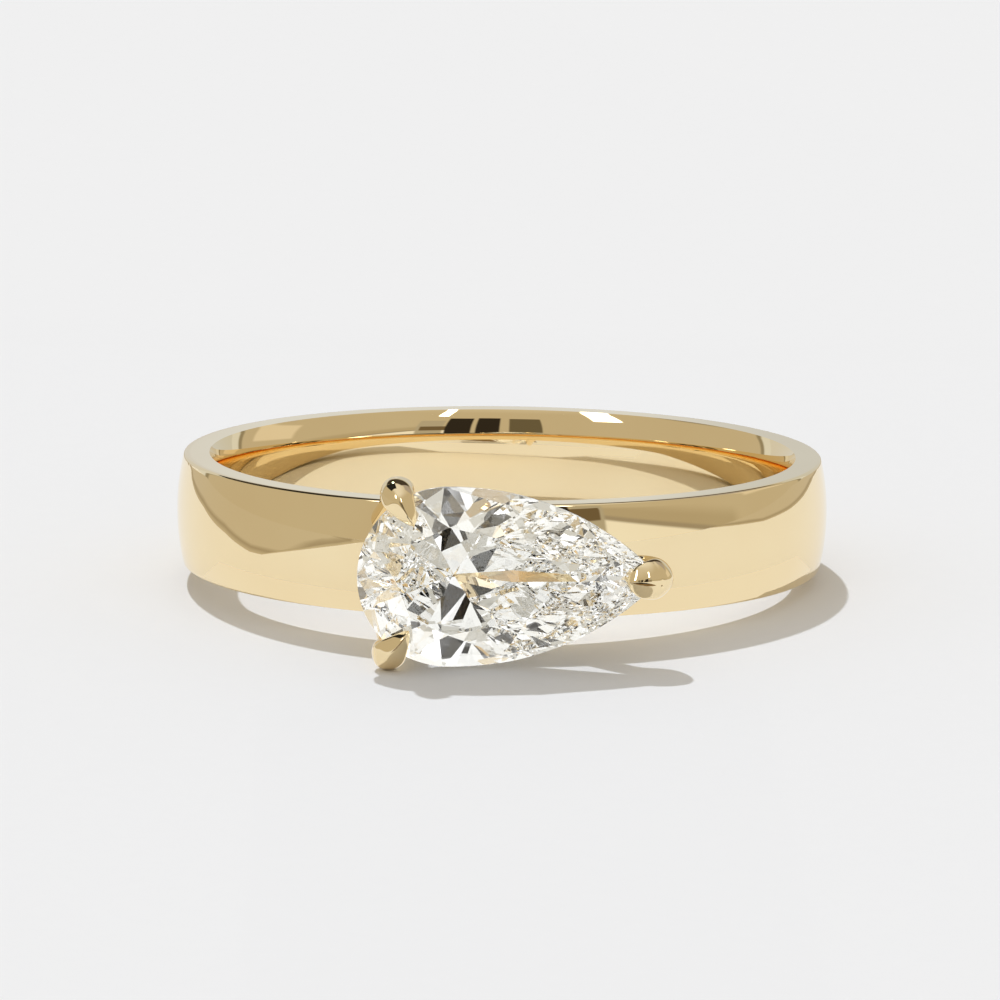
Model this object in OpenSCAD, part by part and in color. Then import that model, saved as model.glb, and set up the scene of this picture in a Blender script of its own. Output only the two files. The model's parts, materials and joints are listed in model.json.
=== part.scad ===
// Solitaire ring: a wide plain band with a pear-shaped stone set across the finger.
// It lies on its side as it would by itself, on one claw and on the far edge of the band.
// The ring is first drawn about the axis of the finger (Z), with the stone towards -Y and
// the stone's point towards +X. The module at_rest then tips it over onto the plane Z = 0.

/* [Band] */
// Inside diameter of the band
bore_d = 16.9; // [15:0.1:20]
// Width of the band along the finger
band_w = 3.3; // [2.8:0.1:4]
// Thickness of the band at the middle of its width
band_t = 1.2; // [1:0.05:1.5]
// How far the outer face falls from its middle to its edges
dome = 0.2; // [0.1:0.01:0.3]
// Rounding of the two outer edges
edge_r = 0.1; // [0.05:0.01:0.15]
// Easing of the inner edges, measured outwards from the finger
ease_depth = 0.25; // [0.1:0.01:0.35]
// Easing of the inner edges, measured along the finger
ease_length = 0.85; // [0.5:0.05:1.1]

/* [Stone] */
// Width of the stone, along the finger
stone_w = 5.12; // [4.6:0.02:5.6]
// Length from the round end to the widest line
head_l = 2.72; // [2.6:0.01:2.9]
// Length from the widest line to the point
wing_l = 5.85; // [5:0.05:6.5]
// Distance from the middle of the band's outer face to the girdle
rise = 2.35; // [2.3:0.05:3.2]
// Height of the crown above the girdle
crown_h = 0.72; // [0.5:0.01:0.9]
// Thickness of the girdle
girdle_t = 0.18; // [0.12:0.01:0.25]
// Depth of the pavilion below the girdle
pavilion_h = 2.15; // [1.9:0.01:2.25]
// Size of the table as a share of the outline
table_share = 0.6; // [0.5:0.01:0.66]

/* [Claws] */
// Place of the upper head claw on the outline, as a direction measured from the stone's point
upper_claw_angle = 122; // [112:1:135]
// Place of the lower head claw, measured the other way round
lower_claw_angle = 127; // [112:1:135]
// How far the head claws reach over the stone
head_reach = 0.78; // [0.6:0.02:0.95]
// How far the point claw reaches over the stone
point_reach = 0.76; // [0.6:0.02:1]
// Half width of a head claw where it passes the girdle
head_claw_r = 0.49; // [0.42:0.01:0.54]
// Half width of the point claw where it passes the girdle
point_claw_r = 0.58; // [0.5:0.01:0.62]
// Half width of a claw's leg where it leaves the band
leg_r = 0.4; // [0.35:0.01:0.45]
// Gap between the metal and the stone
stone_gap = 0.03; // [0.02:0.01:0.05]

/* [Balance] */
// Share of the ring's weight that is in the stone and the claws
head_share = 0.08; // [0.05:0.005:0.15]

/* [Hidden] */
$fn = 72;
eps = 0.01;

bore_r = bore_d / 2;
outer_r = bore_r + band_t;
girdle_y = -(outer_r + rise);

// Outer face of the band: an arc through the middle and the two edges
dome_r = (pow(band_w / 2, 2) + pow(dome, 2)) / (2 * dome);
dome_x = outer_r - dome_r;
// Rounding of the outer edge: centre and the direction in which it meets the outer face
edge_z = band_w / 2 - edge_r;
edge_x = dome_x + sqrt(pow(dome_r - edge_r, 2) - pow(edge_z, 2));
edge_angle = asin(edge_z / (dome_r - edge_r));
// Easing of the inner edge: an arc that starts level with the bore
ease_r = (pow(ease_length, 2) + pow(ease_depth, 2)) / (2 * ease_depth);
ease_z = band_w / 2 - ease_length;

// Outline of the stone in its own plane: x from the widest line towards the point, z across.
// Two wing arcs meet at the point, and a head arc joins them smoothly at the round end.
half_w = stone_w / 2;
wing_r = (pow(wing_l, 2) + pow(half_w, 2)) / (2 * half_w);
head_shift = (head_l - half_w) * (2 * wing_r - half_w - head_l) / (2 * (wing_r - head_l));
head_r = head_l - head_shift;
join_angle = 90 + atan(head_shift / (wing_r - half_w));
tip_angle = acos(wing_l / wing_r);
// The middle of the stone's length is over the middle of the band
widest_x = (head_l - wing_l) / 2;

// Directions in which the main facets face, from the round end along one side to the point
MAIN_ANGLES = [180, 137, 92, 64, 0];
// Where the facets between two mains meet them: a share of the way from girdle to table, and
// a share of the way from girdle to culet
STAR_SHARE = 0.45;
LOWER_SHARE = 0.72;
// Steps of the smooth girdle between the stone's point and its round end
GIRDLE_STEPS = 44;

// Stations of a claw. Columns: distance outwards from the girdle, height above the girdle,
// half width and half thickness as shares of the claw's own half width, rounding of the
// ridges of the section (0 is a sharp diamond, 1 is nearly an ellipse).
HEAD_LEG = [
    [0.06, -0.70, 0.84, 0.80, 2.0],
    [0.21, -0.05, 1.00, 0.96, 1.0],
];
POINT_LEG = [
    [-1.10, -1.20, 0.84, 0.76, 2.0],
    [-0.16, -0.79, 0.88, 0.76, 2.0],
    [ 0.06, -0.05, 1.00, 0.92, 1.0],
];
// Over the stone the first two columns are shares of the claw's reach and of its top
HEAD_FOLD = [
    [ 0.03, 0.60, 0.92, 0.80, 0.50],
    [-0.42, 0.95, 0.60, 0.56, 0.20],
    [-0.76, 1.00, 0.30, 0.36, 0.15],
    [-1.00, 0.86, 0.04, 0.06, 0.15],
];
POINT_FOLD = [
    [-0.12, 0.55, 0.98, 0.76, 0.50],
    [-0.50, 0.94, 0.82, 0.56, 0.20],
    [-0.80, 1.00, 0.48, 0.34, 0.15],
    [-1.00, 0.92, 0.05, 0.06, 0.15],
];
STEPS_PER_STATION = 3;
CLAW_SIDES = 16;
// Height of a claw's middle where it is highest over the stone
HEAD_TOP = 0.60;
POINT_TOP = 0.46;
// The claws' feet in the band: x, z and distance from the finger's axis
FOOT_HEAD = [-3.55, 1.0, outer_r - 0.45];
FOOT_POINT = [1.3, 0, outer_r - 0.45];
// How far the point claw sits inwards of the stone's point
POINT_CLAW_INSET = 0.25;

// Outline of the stone grown by a margin, at the direction a faces: 0 at the point, 180 at the
// round end, negative on the lower side
function outline(a, grow = 0) =
    let (
        side = a < 0 ? -1 : 1,
        b = abs(a),
        corner = sqrt(pow(wing_r + grow, 2) - pow(wing_r - half_w, 2))
    )
    b < acos(corner / (wing_r + grow)) ? [corner, 0]
    : b < join_angle
        ? [(wing_r + grow) * cos(b), side * (half_w - wing_r + (wing_r + grow) * sin(b))]
        : [-head_shift + (head_r + grow) * cos(b), side * (head_r + grow) * sin(b)];

// Height over (x, z) of the plane through three points given as [x, z, height]
function plane(a, b, c) = let (n = cross(b - a, c - a)) [n[0] / n[2], n[1] / n[2], a * n / n[2]];
function plane_height(p, xz) = p[2] - p[0] * xz[0] - p[1] * xz[1];

// Point where three such planes meet
function plane_meet(p, q, r) =
    let (
        m = [[p[0], p[1], 1], [q[0], q[1], 1], [r[0], r[1], 1]],
        d = cross(m[1], m[2]) * m[0],
        s = p[2] * cross(m[1], m[2]) + q[2] * cross(m[2], m[0]) + r[2] * cross(m[0], m[1])
    )
    s / d;

// All the main directions, once round the stone
MAINS = concat(MAIN_ANGLES, [for (i = [len(MAIN_ANGLES) - 2:-1:1]) -MAIN_ANGLES[i]]);
MAIN_COUNT = len(MAINS);

// Direction halfway round the outline between two mains
function between(i) =
    let (a = MAINS[i], b = MAINS[(i + 1) % MAIN_COUNT])
    b == 180 ? (a - 180) / 2 : a == 0 ? (b - tip_angle) / 2
    : b == 0 ? (a + tip_angle) / 2 : (a + b) / 2;

// Plane that rests on the girdle at direction a, at height base, and passes through the
// point apex
function main_plane(a, base, apex, grow) =
    let (p = outline(a, grow), along = [-sin(a), cos(a)])
    plane([p[0], p[1], base], [p[0] + along[0], p[1] + along[1], base], apex);

// Facets of one half of the stone, above or below the girdle. apexes holds the point through
// which each main passes, share says how far up the edge between two mains the small facets
// reach. Returns [meeting points, planes of the small facets].
function half_facets(base, apexes, top, share, grow) =
    let (
        mains = [for (i = [0:MAIN_COUNT - 1]) main_plane(MAINS[i], base, apexes[i], grow)],
        level = [0, 0, base + share * (top - base)],
        meets = [for (i = [0:MAIN_COUNT - 1])
            plane_meet(mains[i], mains[(i + 1) % MAIN_COUNT], level)],
        small = [for (i = [0:MAIN_COUNT - 1], end = [0, 1])
            let (
                p = outline(MAINS[(i + end) % MAIN_COUNT], grow),
                g = outline(between(i), grow)
            )
            plane(meets[i], [p[0], p[1], base], [g[0], g[1], base])]
    )
    [meets, concat(mains, small)];

// Corners of the cut stone grown by a margin, as [x, z, height above the girdle's middle]
function stone_corners(grow) =
    let (
        top = girdle_t / 2 + crown_h + grow,
        upper = girdle_t / 2 + grow,
        lower = -girdle_t / 2 - grow,
        bottom = lower - pavilion_h - grow,
        table = [for (a = MAINS) let (p = outline(a) * table_share) [p[0], p[1], top]],
        crown = half_facets(upper, table, top, STAR_SHARE, grow),
        culet = [0, 0, bottom],
        pavilion = half_facets(lower, [for (a = MAINS) culet], bottom, LOWER_SHARE, grow),
        rim = [for (i = [-GIRDLE_STEPS:GIRDLE_STEPS])
            outline(sign(i) * (tip_angle + (180 - tip_angle) * abs(i) / GIRDLE_STEPS), grow)]
    )
    concat(
        table, crown[0], pavilion[0], [culet],
        [for (g = rim) [g[0], g[1], min([for (p = crown[1]) plane_height(p, g)])]],
        [for (g = rim) [g[0], g[1], max([for (p = pavilion[1]) plane_height(p, g)])]]
    );

// From the stone's plane to the ring: height above the girdle is towards -Y
function on_ring(p) = [widest_x + p[0], girdle_y - p[2], p[1]];

module gem(grow = 0) {
    corners = [for (p = stone_corners(grow)) on_ring(p)];
    hull() polyhedron(points = corners, faces = [[for (i = [0:len(corners) - 1]) i]]);
}

// Smooth curve through a list of rows, by cubic steps that pass through every row
function smooth_row(rows, i, t) =
    let (
        last = len(rows) - 1,
        a = rows[max(i - 1, 0)],
        b = rows[i],
        c = rows[min(i + 1, last)],
        d = rows[min(i + 2, last)]
    )
    0.5 * (2 * b + (c - a) * t + (2 * a - 5 * b + 4 * c - d) * t * t
        + (3 * b - a - 3 * c + d) * t * t * t);
function smooth(rows, steps) =
    concat([for (i = [0:len(rows) - 2], k = [0:steps - 1]) smooth_row(rows, i, k / steps)],
        [rows[len(rows) - 1]]);

// Section of a claw at direction a: half width w along side, half thickness t along up, and
// four ridges that are rounded by the share r
function section(a, w, t, r) =
    let (
        c = cos(a),
        s = sin(a),
        m = sqrt(1 + r * r) + r,
        flat = m * m - 4 * r * r,
        k = sqrt(m * flat / (m + sqrt(m * m - pow(c * c - s * s, 2) * flat)))
    )
    [w * k * c, t * k * s];

// Rings of points along a claw. girdle is its place on the outline, facing the direction it
// leans out to, foot is its root in the band, leg and fold are its stations, and size is
// [reach over the stone, height of its top, half width].
function claw_rings(girdle, facing, foot, leg, fold, size) =
    let (
        out = [cos(facing), 0, sin(facing)],
        side = [-sin(facing), 0, cos(facing)],
        base = on_ring([girdle[0], girdle[1], 0]),
        root = [foot[0], -sqrt(pow(foot[2], 2) - pow(foot[0], 2)), foot[1]],
        stations = concat(leg, [for (s = fold) [s[0] * size[0], s[1] * size[1], s[2], s[3], s[4]]]),
        rows = concat(
            [[root[0], root[1], root[2], leg_r, leg_r, 2]],
            [for (s = stations)
                let (c = base + s[0] * out + [0, -s[1], 0])
                [c[0], c[1], c[2], s[2] * size[2], s[3] * size[2], s[4]]]),
        path = smooth(rows, STEPS_PER_STATION),
        last = len(path) - 1
    )
    [for (i = [0:last])
        let (
            here = path[i],
            ahead = path[min(i + 1, last)],
            behind = path[max(i - 1, 0)],
            run = [for (k = [0:2]) ahead[k] - behind[k]],
            up = cross(side, run) / norm(cross(side, run))
        )
        [for (k = [0:CLAW_SIDES - 1])
            let (q = section(360 * k / CLAW_SIDES, here[3], here[4], here[5]))
            [here[0], here[1], here[2]] + q[0] * side + q[1] * up]];

module skin(rings) {
    n = CLAW_SIDES;
    last = len(rings) - 1;
    points = [for (r = rings, p = r) p];
    walls = [for (i = [0:last - 1], k = [0:n - 1]) let (m = (k + 1) % n)
        each [[i * n + k, (i + 1) * n + m, (i + 1) * n + k], [i * n + k, i * n + m, (i + 1) * n + m]]];
    polyhedron(points = points, faces = concat(
        walls,
        [[for (k = [n - 1:-1:0]) k]],
        [[for (k = [0:n - 1]) last * n + k]]
    ));
}

HEAD_SIZE = [head_reach, HEAD_TOP, head_claw_r];
UPPER_CLAW = claw_rings(outline(upper_claw_angle), upper_claw_angle,
    FOOT_HEAD, HEAD_LEG, HEAD_FOLD, HEAD_SIZE);
LOWER_CLAW = claw_rings(outline(-lower_claw_angle), -lower_claw_angle,
    [FOOT_HEAD[0], -FOOT_HEAD[1], FOOT_HEAD[2]], HEAD_LEG, HEAD_FOLD, HEAD_SIZE);
POINT_CLAW = claw_rings(outline(0) - [POINT_CLAW_INSET, 0], 0,
    FOOT_POINT, POINT_LEG, POINT_FOLD, [point_reach, POINT_TOP, point_claw_r]);

// Half section of the band: x is the distance from the finger's axis, y is along the finger
module band_section() {
    difference() {
        union() {
            intersection() {
                translate([bore_r, -band_w / 2]) square([band_t, band_w]);
                translate([dome_x, 0]) circle(dome_r);
                polygon([
                    [bore_r, -band_w / 2], [edge_x, -band_w / 2], [edge_x, -edge_z],
                    [edge_x + edge_r * cos(edge_angle), -edge_z - edge_r * sin(edge_angle)],
                    [outer_r + 1, -edge_z], [outer_r + 1, edge_z],
                    [edge_x + edge_r * cos(edge_angle), edge_z + edge_r * sin(edge_angle)],
                    [edge_x, edge_z], [edge_x, band_w / 2], [bore_r, band_w / 2]
                ]);
            }
            for (side = [-1, 1]) translate([edge_x, side * edge_z]) circle(edge_r);
        }
        for (side = [-1, 1]) {
            difference() {
                translate([bore_r - eps, side > 0 ? ease_z : -band_w / 2 - 1])
                    square([ease_depth + 2 * eps, ease_length + 1]);
                translate([bore_r + ease_r, side * ease_z]) circle(ease_r);
            }
        }
    }
}

// Where the ring touches the surface under it: the lowest corner of the lower claw, and the
// lower edge of the band straight across from it through the centre of mass
LOWEST = min([for (r = LOWER_CLAW, p = r) p[2]]);
TOUCH = [for (r = LOWER_CLAW, p = r) if (p[2] == LOWEST) p][0];
BALANCE = head_share * [widest_x + (wing_l - head_l) / 4, girdle_y];
ACROSS = BALANCE - [TOUCH[0], TOUCH[1]];
heading = ACROSS / norm(ACROSS);
to_edge = sqrt(pow(BALANCE * heading, 2) + pow(edge_x, 2) - BALANCE * BALANCE) - BALANCE * heading;
FAR = BALANCE + to_edge * heading;
rest_direction = atan2(FAR[1], FAR[0]);
rest_tilt = atan((-band_w / 2 - LOWEST)
    / (edge_x - TOUCH[0] * cos(rest_direction) - TOUCH[1] * sin(rest_direction)));
rest_height = edge_r + edge_z * cos(rest_tilt) + edge_x * sin(rest_tilt);
// The back of the band and the front of the stone's table lie equally far from the origin
middle_y = (outer_r + girdle_y - girdle_t / 2 - crown_h) / 2;

// The far edge goes down by the tilt, so the side of the ring with the stone rises
module at_rest() {
    translate([0, -middle_y, rest_height])
        rotate([0, 0, rest_direction]) rotate([0, rest_tilt, 0]) rotate([0, 0, -rest_direction])
            children();
}

module band_and_setting() {
    color("goldenrod") at_rest() difference() {
        union() {
            rotate_extrude() band_section();
            skin(UPPER_CLAW);
            skin(LOWER_CLAW);
            skin(POINT_CLAW);
        }
        gem(stone_gap);
    }
}

module stone() {
    color("aliceblue") at_rest() gem();
}

band_and_setting();
stone();
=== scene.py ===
"""Looks of a solitaire ring: polished yellow gold band with three claws, and a pear-shaped diamond.

The ring is built in millimetres about the axis of the finger (Z), with the stone towards -Y and
the stone's point towards +X, as in the CAD model. It is then tipped onto the floor as the CAD
model rests, and scaled to metres.
"""
import json
import math

import bmesh
import bpy
import numpy as np
from mathutils import Matrix, Vector


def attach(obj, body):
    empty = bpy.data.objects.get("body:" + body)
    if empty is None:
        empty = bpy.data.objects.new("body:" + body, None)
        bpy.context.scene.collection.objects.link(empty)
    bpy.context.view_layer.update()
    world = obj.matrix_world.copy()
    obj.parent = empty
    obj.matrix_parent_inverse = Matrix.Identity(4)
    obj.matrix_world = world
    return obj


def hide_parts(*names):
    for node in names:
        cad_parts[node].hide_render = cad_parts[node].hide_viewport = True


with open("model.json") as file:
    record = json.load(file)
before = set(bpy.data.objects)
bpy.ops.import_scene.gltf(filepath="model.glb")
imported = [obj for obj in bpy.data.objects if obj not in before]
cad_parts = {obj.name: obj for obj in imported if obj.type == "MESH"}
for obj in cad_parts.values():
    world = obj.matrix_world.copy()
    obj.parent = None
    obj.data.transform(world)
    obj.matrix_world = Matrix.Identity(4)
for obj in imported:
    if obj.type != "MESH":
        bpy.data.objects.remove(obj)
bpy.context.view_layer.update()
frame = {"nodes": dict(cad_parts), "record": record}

MM = 0.001

# Band
BORE_R = 8.45
BAND_W = 3.3
BAND_THICK = 1.2
OUTER_R = BORE_R + BAND_THICK
DOME = 0.2
EDGE_R = 0.1
EASE_DEPTH = 0.25
EASE_LENGTH = 0.85
# Steps around the band, and along its section: bore, eased edge, flat side, outer edge and dome
BAND_STEPS = 900
BORE_STEPS = 4
EASE_STEPS = 14
SIDE_STEPS = 6
EDGE_STEPS = 7
DOME_STEPS = 14
# Stone: half width, lengths of its head and of its wings, and the angle beside its long axis
# within which its tip is what faces a direction. Then its place, and the gap to its seat.
HALF_W = 2.56
HEAD_L = 2.72
WING_L = 5.85
TIP_ANGLE = 20
STONE_RISE = 2.35
GIRDLE_Y = -(OUTER_R + STONE_RISE)
WIDEST_X = (HEAD_L - WING_L) / 2
STONE_GAP = 0.03
# Claws: reach over the stone, height of the top, half width
HEAD_SIZE = (0.78, 0.60, 0.49)
POINT_SIZE = (0.76, 0.46, 0.58)
# Directions of the head claws in degrees around the stone, 0 being its tip, and how far the point
# claw stands back from the tip
UPPER_FACING = 122
LOWER_FACING = -127
POINT_INSET = 0.25
# Feet of the legs on the band (x, z), and how deep they start in it
UPPER_FOOT = (-3.55, 1.0)
LOWER_FOOT = (-3.55, -1.0)
POINT_FOOT = (1.3, 0)
FOOT_DEPTH = 0.45
FOOT_R = OUTER_R - FOOT_DEPTH
LEG_R = 0.4
# Rounding that makes a claw's section nearly round
ROUND = 2.0
CLAW_STEPS = 14
CLAW_SIDES = 72
SHARP_ANGLE = 28

# Columns: distance outwards from the girdle, height above the girdle, half width and half
# thickness as shares of the claw's half width, rounding of the ridges of the section
HEAD_LEG = [
    (0.06, -0.70, 0.84, 0.80, ROUND),
    (0.21, -0.05, 1.00, 0.96, 1.0),
]
POINT_LEG = [
    (-1.10, -1.20, 0.84, 0.76, ROUND),
    (-0.16, -0.79, 0.88, 0.76, ROUND),
    (0.06, -0.05, 1.00, 0.92, 1.0),
]
# Over the stone the first two columns are shares of the claw's reach and of its top
HEAD_FOLD = [
    (0.03, 0.60, 0.92, 0.80, 0.50),
    (-0.42, 0.95, 0.60, 0.56, 0.20),
    (-0.76, 1.00, 0.30, 0.36, 0.15),
    (-1.00, 0.86, 0.04, 0.06, 0.15),
]
POINT_FOLD = [
    (-0.12, 0.55, 0.98, 0.76, 0.50),
    (-0.50, 0.94, 0.82, 0.56, 0.20),
    (-0.80, 1.00, 0.48, 0.34, 0.15),
    (-1.00, 0.92, 0.05, 0.06, 0.15),
]

# The surroundings have three sets of colours: for the floor, for the metal and for the stone.
# What lights the floor besides the key light
DAYLIGHT = (0.625, 0.601, 0.563)
# What the metal reflects. Cards are painted over each other, in Room.paint's columns.
ROOM = (0.545, 0.49, 0.39)
BLACK = (0.03, 0.025, 0.02)
LAMP = (6.0, 6.2, 6.5)
ROOM_CARDS = [
    # Overhead, and a slanting dark flat on the left towards the back
    (-200, 200, 62, 118, 30, (0.80, 0.79, 0.78)),
    (-170, -80, 26, 100, 3, (0.02, 0.02, 0.02), -0.43),
    # Right, towards the back
    (104, 170, 32, 60, 4, (0.42, 0.39, 0.40)),
    (96, 122, 8, 27, 3, (0.74, 0.68, 0.58)),
    # Behind: the pale wall that the flat side of the band reflects, a darker part on either side
    # of its middle, a dark flat above it and a dark strip at each end
    (132, 228, -20, 26, 2, (0.71, 0.74, 0.765)),
    (140, 177.3, -20, 26, 1.2, (0.61, 0.63, 0.64)),
    (181.2, 220, -20, 26, 1.2, (0.66, 0.67, 0.68)),
    (140, 220, 30, 64, 4, (0.06, 0.05, 0.04)),
    (131, 134, -5, 45, 2, (0.30, 0.27, 0.20)),
    (226, 229, -5, 45, 2, (0.30, 0.27, 0.20)),
    # Front right, slanting: dim above, a darker line, and bright below it
    (28, 90, -40, 12, 6, (0.455, 0.40, 0.30), 0.30),
    (20, 90, -40, 7.2, 1.5, (0.35, 0.31, 0.25), 0.30),
    (20, 90, -40, 5.1, 1.5, (0.875, 0.87, 0.855), 0.30),
    # In front: dark flats
    (24.5, 36, 0, 32, 1.5, (0.44, 0.41, 0.35)),
    (20, 34.5, 11, 19.5, 1.0, (0.16, 0.12, 0.07)),
    (12.5, 23.5, 2, 37, 1.0, BLACK),
    (0.5, 10.5, 4, 38, 1.0, BLACK),
    (-17.5, -3.5, 7, 37, 1.0, (0.14, 0.12, 0.08)),
    # Two lamps
    (-57, -43, 36, 54, 2.0, LAMP),
    (25.5, 30.5, 42, 56, 1.0, LAMP),
]
# What is seen through the stone: a bright floor, and bright cards with dark strips
STONE_ROOM = (0.655, 0.635, 0.56)
SHARP = 0.5
NO_LIGHT = (0.0, 0.0, 0.0)
STONE_LAMP = (2.1, 2.12, 2.15)
STONE_GREY = (0.25, 0.24, 0.22)
STONE_CARDS = [
    (-200, 200, -95, 0, SHARP, (1.14, 1.145, 1.11)),
    (-4, 20, 0, 50, SHARP, (1.32, 1.33, 1.34)),
    (-4, 1, 0, 50, SHARP, NO_LIGHT),
    (3.5, 8, 0, 50, SHARP, NO_LIGHT),
    (9.5, 14, 0, 50, SHARP, NO_LIGHT),
    (16.5, 20, 0, 50, SHARP, NO_LIGHT),
    (-64, -32, 30, 55, SHARP, STONE_LAMP),
    (-56, -48, 30, 55, SHARP, STONE_GREY),
    (32, 60, 30, 60, SHARP, STONE_LAMP),
    (42, 50, 30, 60, SHARP, STONE_GREY),
    (16, 32, -12, 8, SHARP, (1.9, 1.92, 1.95)),
    (22, 26, -12, 8, SHARP, (0.1, 0.1, 0.1)),
    (-70, -44, 5, 22, SHARP, (1.50, 1.30, 0.95)),
    (-60, -54, 5, 22, SHARP, (0.70, 0.46, 0.18)),
    (40, 130, 50, 90, SHARP, NO_LIGHT),
    (70, 90, 50, 90, SHARP, (1.5, 1.5, 1.5)),
    (-60, -25, -10, 5, SHARP, NO_LIGHT),
    (-46, -38, -10, 5, SHARP, (1.6, 1.6, 1.6)),
    (60, 90, -20, 5, SHARP, NO_LIGHT),
    (-130, -80, -90, -50, SHARP, (0.02, 0.02, 0.02)),
]

# The key light is a sun behind the ring: direction, width and energy
KEY_AZIMUTH = 197
KEY_ELEVATION = 57
KEY_WIDTH = 1.5
KEY_ENERGY = 1.745
KEY_COLOUR = (0.861, 0.912, 1.0)

# Sheets on the floor that glow, seen by reflections in the metal alone: painted reflections, not
# lamps. The two flags stand for what lies around the paper and run beside the ring, each between
# four rails: near, line, far and rest.
SHEET_HEIGHT = 0.05
# The flags' tones are a painted reflection of dim ground, with a darker line in it.
DIM = (0.565, 0.515, 0.425)
GROUND_REFLECTION_TONES = [DIM, (0.38, 0.33, 0.25), DIM, DIM]
LEFT_GROUND_REFLECTION = [
    [(-38, 60), (-31, 32), (-28.5, 15), (-21.5, 2.7), (-16.5, -2.8),
     (-16.2, -4.2), (-21.8, -10), (-38, -26), (-70, -56), (-320, -300)],
    [(-41, 60), (-34, 35), (-33, 19.5), (-26, 4.9), (-18.7, -2.6),
     (-17.8, -5.2), (-27, -13), (-52, -33), (-100, -72), (-360, -260)],
    [(-45, 60), (-37, 39), (-41, 27), (-30.5, 7), (-20.7, -2.4),
     (-20, -7), (-38, -15), (-90, -45), (-160, -90), (-395, -200)],
    [(-400, 400), (-400, 399), (-400, 300), (-400, 200), (-400, 100),
     (-400, 50), (-400, 0), (-400, -50), (-400, -100), (-400, -199)],
]
RIGHT_GROUND_REFLECTION = [
    [(-30, 40), (10, 33), (25, 34), (33, 28), (38, 15),
     (46, 5), (75, -4), (337, -81), (399, -95)],
    [(-31, 43), (10, 36), (28, 37.5), (37, 31), (43, 17),
     (54, 6), (95, -3), (370, -66), (399, -72)],
    [(-33, 48), (10, 41), (33, 43), (43, 35), (50, 20),
     (64, 9), (125, 4), (390, -40), (399, -45)],
    [(-297, 399), (-200, 399), (-100, 399), (0, 399), (100, 399),
     (200, 399), (300, 399), (399, 399), (399, 300)],
]
# The front card is an arc around the band, in degrees with -90 straight in front. Away from there
# its inner edge moves out by the taper, between the two angles that are given.
# Its tone is a painted reflection of lit paper, which the metal sees in place of the ring's real
# shadow on the floor.
LIT_PAPER_REFLECTION_TONE = (0.87, 0.86, 0.85)
CARD_INNER_R = 9.0
CARD_OUTER_R = 12.6
CARD_MIDDLE_Y = 1.58
CARD_START = -170
CARD_END = -5
CARD_STEP = 5
CARD_FRONT = -90
CARD_TAPER = 1.3
TAPER_START = 35
TAPER_END = 60
# Painted dark reflections on the floor: the camera's side of the paper, and a strip that the claws
# reflect: tone, x, and y of both ends
CAMERA_SIDE_DARK_REFLECTION = ((0.03, 0.03, 0.03), (-7, 7), (-15, -90))
# Painted shade: a dark brown strip that the undersides of the claws reflect.
CLAW_SHADE = ((0.22, 0.15, 0.08), (-5, 7), (-12.8, -15))

FLOOR_HALF = 400

# The camera, in millimetres and degrees
CAMERA_DOWN = 11.858
CAMERA_TURN = 0.926
CAMERA_ROLL = -0.166
CAMERA_DISTANCE = 220.0
CAMERA_TARGET = (-0.054, 1.8, 2.284)
PIXELS_PER_MM = 33.60
FRAME_PIXELS = 1000
SENSOR = 36


def rest_matrix():
    """From the ring's own millimetres to the frame, by the bore's axis and middle in the record."""
    mount = frame["record"]["mounts"][0]
    turn = Vector((0, 0, 1)).rotation_difference(Vector(mount["axis"]).normalized())
    return Matrix.Translation(mount["pos_m"]) @ turn.to_matrix().to_4x4() @ Matrix.Scale(MM, 4)


def add_object(name, data):
    """A new object in the scene, for a mesh, a light or a camera."""
    made = bpy.data.objects.new(name, data)
    bpy.context.scene.collection.objects.link(made)
    return made


def mesh_object(name, points, faces):
    mesh = bpy.data.meshes.new(name)
    mesh.from_pydata([tuple(p) for p in points], [], faces)
    mesh.validate()
    return add_object(name, mesh)


def arc(centre, radius, start, end, steps):
    """Points (distance from the axis, height along the finger) on an arc, angles in degrees."""
    for angle in np.radians(np.linspace(start, end, steps + 1)):
        yield centre[0] + radius * math.cos(angle), centre[1] + radius * math.sin(angle)


def band_profile():
    """Closed section of the band, upper half from the bore outwards, then mirrored."""
    dome_r = ((BAND_W / 2) ** 2 + DOME ** 2) / (2 * DOME)
    dome_x = OUTER_R - dome_r
    edge_z = BAND_W / 2 - EDGE_R
    edge_x = dome_x + math.sqrt((dome_r - EDGE_R) ** 2 - edge_z ** 2)
    edge_angle = math.degrees(math.asin(edge_z / (dome_r - EDGE_R)))
    ease_r = (EASE_LENGTH ** 2 + EASE_DEPTH ** 2) / (2 * EASE_DEPTH)
    ease_z = BAND_W / 2 - EASE_LENGTH
    ease_end = math.degrees(math.asin(EASE_LENGTH / ease_r))
    side = np.linspace(BORE_R + EASE_DEPTH, edge_x, SIDE_STEPS + 1)
    upper = [(BORE_R, z) for z in np.linspace(0, ease_z, BORE_STEPS + 1)[:-1]]
    upper += list(arc((BORE_R + ease_r, ease_z), ease_r, 180, 180 - ease_end, EASE_STEPS))
    upper += [(x, BAND_W / 2) for x in side[1:-1]]
    upper += list(arc((edge_x, edge_z), EDGE_R, 90, edge_angle, EDGE_STEPS))
    upper += list(arc((dome_x, 0), dome_r, edge_angle, 0, DOME_STEPS))[1:]
    return upper + [(x, -z) for x, z in upper[-2:0:-1]]


def band():
    """The section turned about the finger's axis."""
    profile = np.array(band_profile())
    angles = np.linspace(0, 2 * math.pi, BAND_STEPS, endpoint=False)
    count = len(profile)
    points = np.stack([
        np.outer(np.cos(angles), profile[:, 0]),
        np.outer(np.sin(angles), profile[:, 0]),
        np.broadcast_to(profile[:, 1], (BAND_STEPS, count)),
    ], axis=-1).reshape(-1, 3)
    faces = []
    for i in range(BAND_STEPS):
        here, ahead = i * count, (i + 1) % BAND_STEPS * count
        for k in range(count):
            m = (k + 1) % count
            faces.append((here + k, here + m, ahead + m, ahead + k))
    return mesh_object("band", points, faces)


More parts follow.
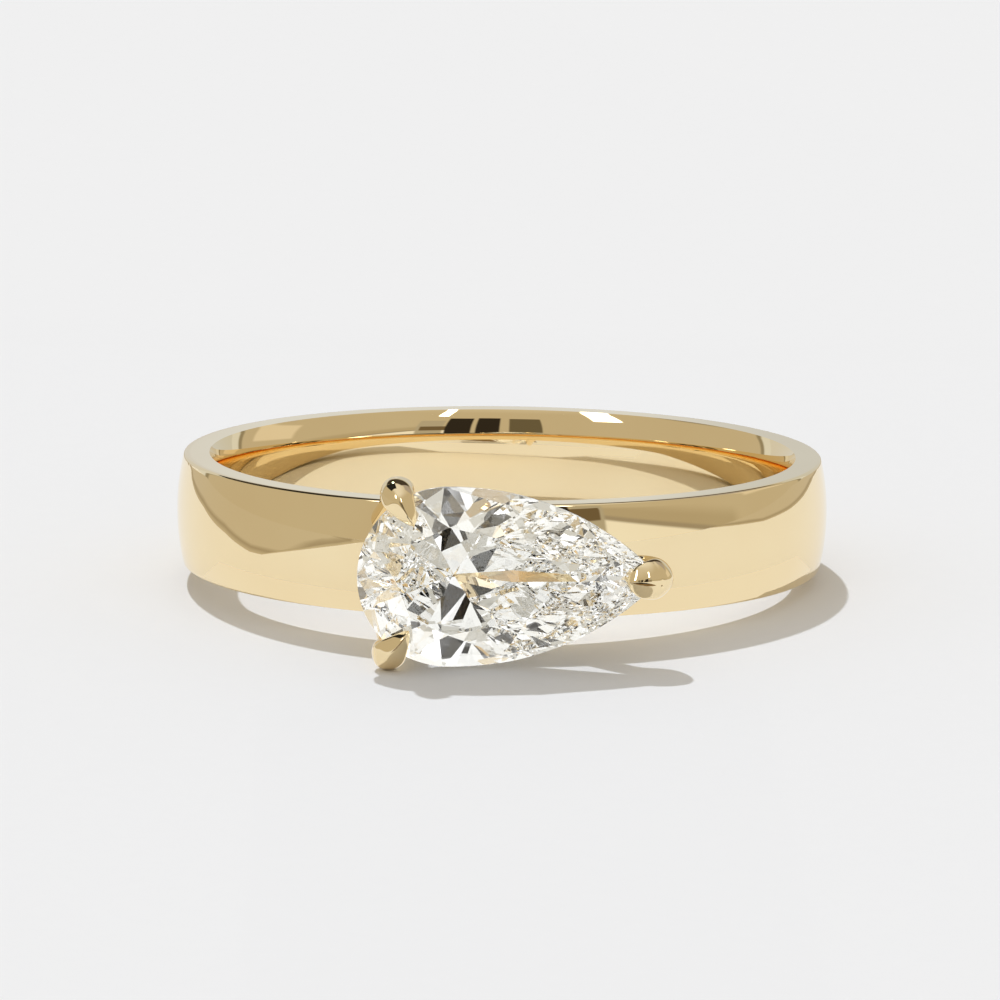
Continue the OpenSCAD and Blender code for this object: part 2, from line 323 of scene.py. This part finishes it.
def outline(degrees):
    """Point on the stone's outline that faces the given direction, at its tip or on its head."""
    wing_r = (WING_L ** 2 + HALF_W ** 2) / (2 * HALF_W)
    head_shift = (HEAD_L - HALF_W) * (2 * wing_r - HALF_W - HEAD_L) / (2 * (wing_r - HEAD_L))
    a = math.radians(degrees)
    if math.cos(a) > math.cos(math.radians(TIP_ANGLE)):
        return np.array([WING_L, 0.0])
    return np.array([
        -head_shift + (HEAD_L - head_shift) * math.cos(a), (HEAD_L - head_shift) * math.sin(a),
    ])


def smooth(rows, steps):
    """Smooth curve through every row, by cubic steps."""
    rows = np.array(rows, float)
    last = len(rows) - 1
    made = []
    for i in range(last):
        a, b, c, d = rows[max(i - 1, 0)], rows[i], rows[i + 1], rows[min(i + 2, last)]
        for t in np.arange(steps) / steps:
            made.append(0.5 * (
                2 * b + (c - a) * t + (2 * a - 5 * b + 4 * c - d) * t ** 2
                + (3 * b - a - 3 * c + d) * t ** 3
            ))
    return np.array(made + [rows[-1]])


def section(turn, wide, thick, rounding):
    """Points of a claw's section: a diamond whose four ridges are rounded by a share."""
    cos, sin = np.cos(turn), np.sin(turn)
    m = math.sqrt(1 + rounding ** 2) + rounding
    flat = m ** 2 - 4 * rounding ** 2
    k = np.sqrt(m * flat / (m + np.sqrt(m ** 2 - (cos ** 2 - sin ** 2) ** 2 * flat)))
    return wide * k * cos, thick * k * sin


def claw(name, girdle, facing, foot, leg, fold, size):
    """A claw and its leg: girdle is its place on the outline, facing the way it leans out."""
    a = math.radians(facing)
    out = np.array([math.cos(a), 0, math.sin(a)])
    side = np.array([-math.sin(a), 0, math.cos(a)])
    base = np.array([WIDEST_X + girdle[0], GIRDLE_Y, girdle[1]])
    reach, top, half_width = size
    foot_x, foot_z = foot
    rows = [(foot_x, -math.sqrt(FOOT_R ** 2 - foot_x ** 2), foot_z, LEG_R, LEG_R, ROUND)]
    stations = leg + [(share * reach, height * top, *rest) for share, height, *rest in fold]
    for outwards, height, wide, thick, rounding in stations:
        c = base + outwards * out + np.array([0, -height, 0])
        rows.append((*c, wide * half_width, thick * half_width, rounding))
    path = smooth(rows, CLAW_STEPS)
    last = len(path) - 1
    turn = np.arange(CLAW_SIDES) / CLAW_SIDES * 2 * math.pi
    points = []
    for i, row in enumerate(path):
        run = path[min(i + 1, last)][:3] - path[max(i - 1, 0)][:3]
        up = np.cross(side, run)
        up /= np.linalg.norm(up)
        across, above = section(turn, *row[3:])
        points.append(row[:3] + np.outer(across, side) + np.outer(above, up))
    faces = [tuple(reversed(range(CLAW_SIDES)))]
    for i in range(last):
        here, ahead = i * CLAW_SIDES, (i + 1) * CLAW_SIDES
        for k in range(CLAW_SIDES):
            m = (k + 1) % CLAW_SIDES
            faces.append((here + k, here + m, ahead + m, ahead + k))
    faces.append(tuple(last * CLAW_SIDES + k for k in range(CLAW_SIDES)))
    return mesh_object(name, np.concatenate(points), faces)


def seat_cutter(stone, to_frame):
    """The stone grown by the gap, which cuts the claws' seats. It is in the ring's millimetres."""
    back = to_frame.inverted()
    corners = np.array([back @ v.co for v in stone.data.vertices])
    shifts = STONE_GAP * np.array([
        (1, 0, 0), (-1, 0, 0), (0, 1, 0), (0, -1, 0), (0, 0, 1), (0, 0, -1),
    ])
    cutter = mesh_object("seat_cutter", (corners[:, None] + shifts).reshape(-1, 3), [])
    shape = bmesh.new()
    shape.from_mesh(cutter.data)
    bmesh.ops.remove_doubles(shape, verts=shape.verts, dist=1e-5)
    made = bmesh.ops.convex_hull(shape, input=shape.verts)
    loose = set(made["geom_interior"] + made["geom_unused"])
    inside = [v for v in loose if isinstance(v, bmesh.types.BMVert)]
    bmesh.ops.delete(shape, geom=inside, context="VERTS")
    shape.to_mesh(cutter.data)
    shape.free()
    return cutter


def outward(made):
    """Turn all faces outwards."""
    shape = bmesh.new()
    shape.from_mesh(made.data)
    bmesh.ops.recalc_face_normals(shape, faces=shape.faces)
    shape.to_mesh(made.data)
    shape.free()


def combine(base, others, operation):
    """Join the others to base, or cut them out of it. The others are used up."""
    for other in others:
        step = base.modifiers.new(operation.lower(), "BOOLEAN")
        step.object, step.operation, step.solver = other, operation, "MANIFOLD"
    bpy.context.view_layer.update()
    shown = base.evaluated_get(bpy.context.evaluated_depsgraph_get())
    result = bpy.data.meshes.new_from_object(shown)
    base.modifiers.clear()
    base.data = result
    for other in others:
        bpy.data.objects.remove(other)


def smooth_shading(made, degrees):
    """Smooth all over, apart from edges sharper than the angle."""
    mesh = made.data
    mesh.shade_smooth()
    mesh.set_sharp_from_angle(angle=math.radians(degrees))


def new_material(name, values):
    """A new material with these values on its surface shader."""
    material = bpy.data.materials.new(name)
    material.use_nodes = True
    for socket, value in values.items():
        material.node_tree.nodes["Principled BSDF"].inputs[socket].default_value = value
    return material


def noise(material, scale, detail=2):
    """Noise that stays in its place on the object, from 0 to 1."""
    nodes, links = material.node_tree.nodes, material.node_tree.links
    node = nodes.new("ShaderNodeTexNoise")
    node.inputs["Scale"].default_value = scale
    node.inputs["Detail"].default_value = detail
    links.new(nodes.new("ShaderNodeTexCoord").outputs["Object"], node.inputs["Vector"])
    return node.outputs["Fac"]


def vary_colour(material, factor, low, high):
    """Base colour between two tones. Each is (its place on the factor, its colour)."""
    nodes, links = material.node_tree.nodes, material.node_tree.links
    tones = nodes.new("ShaderNodeValToRGB")
    for element, (position, colour) in zip(tones.color_ramp.elements, (low, high)):
        element.position = position
        element.color = (*colour, 1)
    links.new(factor, tones.inputs["Fac"])
    links.new(tones.outputs["Color"], nodes["Principled BSDF"].inputs["Base Color"])


def vary_roughness(material, factor, low, high):
    """Roughness between two values. Each is (its place on the factor, its roughness)."""
    nodes, links = material.node_tree.nodes, material.node_tree.links
    spread = nodes.new("ShaderNodeMapRange")
    for socket, value in zip(("From Min", "To Min", "From Max", "To Max"), (*low, *high)):
        spread.inputs[socket].default_value = value
    links.new(factor, spread.inputs["Value"])
    links.new(spread.outputs["Result"], nodes["Principled BSDF"].inputs["Roughness"])


def gold_material():
    """Mirror-polished yellow gold, with slight clouds in its tone and in its polish."""
    gold = new_material("polished_gold", {"Metallic": 1.0})
    vary_colour(gold, noise(gold, 260, 3), (0.3, (0.96, 0.78, 0.475)), (0.7, (0.985, 0.82, 0.515)))
    vary_roughness(gold, noise(gold, 900, 5), (0.35, 0.01), (0.7, 0.03))
    return gold


def diamond_material():
    """Clear diamond, a trace warmer in some places than in others."""
    diamond = new_material("diamond", {"Transmission Weight": 1.0, "IOR": 2.42, "Roughness": 0.0})
    vary_colour(diamond, noise(diamond, 500), (0, (1.0, 0.985, 0.95)), (1, (0.98, 0.99, 1.0)))
    return diamond


def floor_material():
    """Matt white paper with a fine grain."""
    paper = new_material("floor", {"Roughness": 0.9, "Specular IOR Level": 0.1})
    vary_colour(paper, noise(paper, 1500), (0, (0.845, 0.845, 0.845)), (1, (0.855, 0.855, 0.855)))
    return paper


def painted_reflection_material():
    """Painted reflection: light in the tone that the mesh carries at each of its points, on sheets
    that are no lamps.
    """
    painted_reflection_glow = new_material("painted_reflection_glow", {})
    nodes, links = painted_reflection_glow.node_tree.nodes, painted_reflection_glow.node_tree.links
    nodes.remove(nodes["Principled BSDF"])
    tone = nodes.new("ShaderNodeAttribute")
    tone.attribute_name = "tone"
    light = nodes.new("ShaderNodeEmission")
    links.new(tone.outputs["Color"], light.inputs["Color"])
    links.new(light.outputs["Emission"], nodes["Material Output"].inputs["Surface"])
    return painted_reflection_glow


def direction(azimuth, elevation):
    """Unit vector: azimuth 0 is towards the camera's side (-Y), 90 towards +X."""
    a, e = math.radians(azimuth), math.radians(elevation)
    return Vector((math.sin(a) * math.cos(e), -math.cos(a) * math.cos(e), math.sin(e)))


class Room:
    """Colours of the surroundings, painted over each other by azimuth and elevation in degrees.

    Rays that leave a surface find them. They aren't sampled as a light as well, because such
    samples don't say which surface they are for, and this room answers each in its own colours.
    """

    def __init__(self):
        world = bpy.data.worlds.new("room")
        bpy.context.scene.world = world
        world.use_nodes = True
        world.cycles.sampling_method = "NONE"
        self.nodes, self.links = world.node_tree.nodes, world.node_tree.links
        self.background = self.nodes["Background"]
        split = self.nodes.new("ShaderNodeSeparateXYZ")
        place = self.nodes.new("ShaderNodeTexCoord")
        self.links.new(place.outputs["Generated"], split.inputs["Vector"])
        x, y, z = split.outputs
        self.azimuth = self.math("DEGREES", self.math("ARCTAN2", x, self.math("MULTIPLY", y, -1)))
        self.elevation = self.math("DEGREES", self.math("ARCSINE", z))

    def math(self, operation, *values):
        """The outcome of one sum. Each value is a number or another node's output."""
        node = self.nodes.new("ShaderNodeMath")
        node.operation = operation
        for socket, value in zip(node.inputs, values):
            if isinstance(value, (int, float)):
                socket.default_value = value
            else:
                self.links.new(value, socket)
        return node.outputs["Value"]

    def within(self, value, low, high, soft):
        """1 between low and high, 0 outside, with an edge soft degrees wide."""
        away = self.math("WRAP", self.math("SUBTRACT", value, (low + high) / 2), 180, -180)
        edge = self.nodes.new("ShaderNodeMapRange")
        edge.interpolation_type = "SMOOTHSTEP"
        self.links.new(self.math("ABSOLUTE", away), edge.inputs["Value"])
        edge.inputs["From Min"].default_value = (high - low + soft) / 2
        edge.inputs["From Max"].default_value = (high - low - soft) / 2
        return edge.outputs["Result"]

    def mix(self, factor, below, above):
        """Above where the factor is 1, below where it is 0. Each is a colour or an output."""
        node = self.nodes.new("ShaderNodeMix")
        node.data_type = "RGBA"
        self.links.new(factor, node.inputs["Factor"])
        for name, colour in (("A", below), ("B", above)):
            if isinstance(colour, tuple):
                node.inputs[name].default_value = (*colour, 1)
            else:
                self.links.new(colour, node.inputs[name])
        return node.outputs["Result"]

    def paint(self, base, cards):
        """Each card is (azimuth from, to, elevation from, to, edge width, colour[, lean]).

        Lean is how many degrees the card sinks with each degree of azimuth from its middle.
        """
        colour = base
        for left, right, low, high, soft, tone, *lean in cards:
            height = self.elevation
            if lean:
                turned = self.math("SUBTRACT", self.azimuth, (left + right) / 2)
                height = self.math("ADD", height, self.math("MULTIPLY", turned, lean[0]))
            inside = self.math("MULTIPLY", self.within(self.azimuth, left, right, soft),
                               self.within(height, low, high, soft))
            colour = self.mix(inside, colour, tone)
        return colour

    def finish(self, colour):
        """Show this colour as the surroundings."""
        self.links.new(colour, self.background.inputs["Color"])
        self.background.inputs["Strength"].default_value = 1.0


def paint_the_room():
    """The metal, the stone and the floor each see their own colours, by the kind of ray."""
    room = Room()
    ray = room.nodes.new("ShaderNodeLightPath")
    seen = room.mix(ray.outputs["Is Transmission Ray"], room.paint(ROOM, ROOM_CARDS),
                    room.paint(STONE_ROOM, STONE_CARDS))
    room.finish(room.mix(ray.outputs["Is Diffuse Ray"], seen, DAYLIGHT))


def add_key_light():
    """The sun that throws the ring's shadow."""
    key = bpy.data.lights.new("key", "SUN")
    key.energy = KEY_ENERGY
    key.color = KEY_COLOUR
    key.angle = math.radians(KEY_WIDTH)
    lamp = add_object("key", key)
    lamp.rotation_mode = "QUATERNION"
    lamp.rotation_quaternion = direction(KEY_AZIMUTH, KEY_ELEVATION).to_track_quat("Z", "Y")


def lit_paper_reflection():
    """Inner and outer rail of the arc, which paints a reflection of lit paper over the ring's
    shadow.
    """
    inner, outer = [], []
    for degrees in range(CARD_START, CARD_END + 1, CARD_STEP):
        a = math.radians(degrees)
        aside = (abs(degrees - CARD_FRONT) - TAPER_START) / (TAPER_END - TAPER_START)
        inner_r = CARD_INNER_R + CARD_TAPER * min(max(aside, 0), 1)
        for rail, r in ((inner, inner_r), (outer, CARD_OUTER_R)):
            rail.append((r * math.cos(a), CARD_MIDDLE_Y + r * math.sin(a)))
    return [inner, outer]


def add_sheets():
    """All the sheets of painted reflection on the floor, in one material."""
    painted_reflection_glow = painted_reflection_material()
    add_sheet("left_ground_reflection", LEFT_GROUND_REFLECTION, GROUND_REFLECTION_TONES, painted_reflection_glow)
    add_sheet("right_ground_reflection", RIGHT_GROUND_REFLECTION, GROUND_REFLECTION_TONES, painted_reflection_glow)
    add_sheet("lit_paper_reflection", lit_paper_reflection(), [LIT_PAPER_REFLECTION_TONE, LIT_PAPER_REFLECTION_TONE], painted_reflection_glow)
    for name, (tone, sides, ends) in (("camera_side_dark_reflection", CAMERA_SIDE_DARK_REFLECTION), ("claw_shade", CLAW_SHADE)):
        add_sheet(name, [[(x, y) for y in ends] for x in sides], [tone, tone], painted_reflection_glow)


def add_sheet(name, rails, tones, painted_reflection_glow):
    """A glowing sheet of painted reflection between rails (rows of points in mm), whose tones blend
    into each other.
    """
    count = len(rails[0])
    points = [(x * MM, y * MM, SHEET_HEIGHT * MM) for rail in rails for x, y in rail]
    faces = [
        (r * count + k, r * count + k + 1, (r + 1) * count + k + 1, (r + 1) * count + k)
        for r in range(len(rails) - 1) for k in range(count - 1)
    ]
    made = mesh_object(name, points, faces)
    tone = made.data.attributes.new("tone", "FLOAT_COLOR", "POINT")
    for i in range(len(points)):
        tone.data[i].color = (*tones[i // count], 1)
    made.data.materials.append(painted_reflection_glow)
    for kind in ("camera", "diffuse", "transmission", "volume_scatter", "shadow"):
        setattr(made, "visible_" + kind, False)


def add_floor():
    """The paper. It isn't seen through the stone, whose own room has a floor."""
    size = FLOOR_HALF * MM
    corners = [(-size, -size, 0), (size, -size, 0), (size, size, 0), (-size, size, 0)]
    made = mesh_object("floor", corners, [(0, 1, 2, 3)])
    made.data.materials.append(floor_material())
    made.visible_transmission = False


def set_light_paths():
    """Light crosses the stone many times before it leaves."""
    cycles = bpy.context.scene.cycles
    cycles.max_bounces = 32
    cycles.glossy_bounces = 28
    cycles.transmission_bounces = 28


def add_camera():
    """The camera stands a little to the left of straight in front and looks down at the ring."""
    down, turn, roll = (math.radians(a) for a in (CAMERA_DOWN, CAMERA_TURN, CAMERA_ROLL))
    forward = Vector((
        math.sin(turn) * math.cos(down), math.cos(turn) * math.cos(down), -math.sin(down),
    ))
    right = Vector((math.cos(turn), -math.sin(turn), 0))
    up = right.cross(forward)
    rolled_right = right * math.cos(roll) + up * math.sin(roll)
    rolled_up = up * math.cos(roll) - right * math.sin(roll)
    place = (Vector(CAMERA_TARGET) - forward * CAMERA_DISTANCE) * MM
    data = bpy.data.cameras.new("camera")
    data.sensor_width = SENSOR
    data.lens = PIXELS_PER_MM * CAMERA_DISTANCE / FRAME_PIXELS * SENSOR
    data.clip_start, data.clip_end = 0.01, 5
    made = add_object("camera", data)
    made.matrix_world = Matrix((
        (rolled_right.x, rolled_up.x, -forward.x, place.x),
        (rolled_right.y, rolled_up.y, -forward.y, place.y),
        (rolled_right.z, rolled_up.z, -forward.z, place.z),
        (0, 0, 0, 1),
    ))
    bpy.context.scene.camera = made


to_frame = rest_matrix()
stone = frame["nodes"]["stone"]

metal = band()
head = HEAD_LEG, HEAD_FOLD, HEAD_SIZE
point = POINT_LEG, POINT_FOLD, POINT_SIZE
claws = [
    claw("upper_claw", outline(UPPER_FACING), UPPER_FACING, UPPER_FOOT, *head),
    claw("lower_claw", outline(LOWER_FACING), LOWER_FACING, LOWER_FOOT, *head),
    claw("point_claw", outline(0) - [POINT_INSET, 0], 0, POINT_FOOT, *point),
]
for part in [metal, *claws]:
    outward(part)
combine(metal, claws, "UNION")
combine(metal, [seat_cutter(stone, to_frame)], "DIFFERENCE")
metal.name = metal.data.name = "ring_metal"
metal.data.transform(to_frame)
smooth_shading(metal, SHARP_ANGLE)
metal.data.materials.clear()
metal.data.materials.append(gold_material())
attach(metal, "root")
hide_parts("band_and_setting")

diamond = diamond_material()
for slot in stone.material_slots:
    slot.material = diamond

add_floor()
paint_the_room()
add_key_light()
add_sheets()
add_camera()
set_light_paths()
bpy.context.scene.view_settings.view_transform = "Standard"
